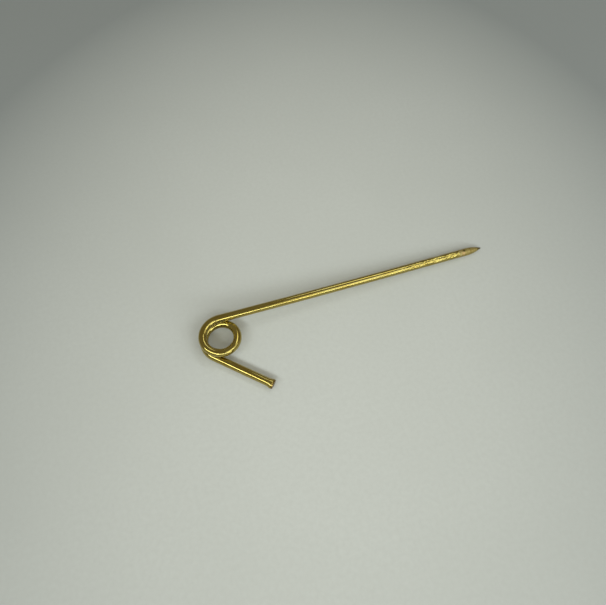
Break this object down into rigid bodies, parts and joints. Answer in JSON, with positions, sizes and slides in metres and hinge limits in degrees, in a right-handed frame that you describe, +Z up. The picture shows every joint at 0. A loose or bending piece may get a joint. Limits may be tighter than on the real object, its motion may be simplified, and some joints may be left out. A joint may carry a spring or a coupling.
{
  "type": "coil-spring pin",
  "caption": "Pin bent from round brass wire: a long straight stem with a ground point, a small spring coil that lets the stem flex, and a short tail with a nipped end.",
  "frame": {"origin": "on the coil's axis, at the surface that the pin lies on", "axes": "+Z up along the coil's axis, +X along the stem towards its point as seen from above, +Y to the side of the coil that the stem leaves from"},
  "size_m": [0.0544, 0.0147, 0.0034],
  "materials": {
    "drawn_brass": "bright drawn wire with fine lengthwise draw lines and slight tarnish",
    "dressed_brass": "bright, rippled across by filing",
    "ground_brass": "dull ground brass with crosswise grinding marks",
    "nipped_brass": "bright skin with a darker torn cut face"
  },
  "bodies": {
    "tail": {"tail_bend": "drawn_brass", "tail_shank": "drawn_brass", "tail_cut_end": "nipped_brass", "coil_lower_turn": "drawn_brass", "coil_upper_turn": "drawn_brass"},
    "stem": {"stem_bend": "drawn_brass", "stem_shank": "drawn_brass", "stem_front": "dressed_brass", "stem_point": "ground_brass"}
  },
  "joints": [
    {"name": "stem_flex", "type": "hinge", "parent": "tail", "child": "stem", "pos_m": [0, 0, 0], "axis": [0, 0, 1], "range_deg": [-42, 12], "stiffness_Nm_per_rad": 0.77, "deforming": ["coil_upper_turn", "coil_lower_turn"]}
  ]
}
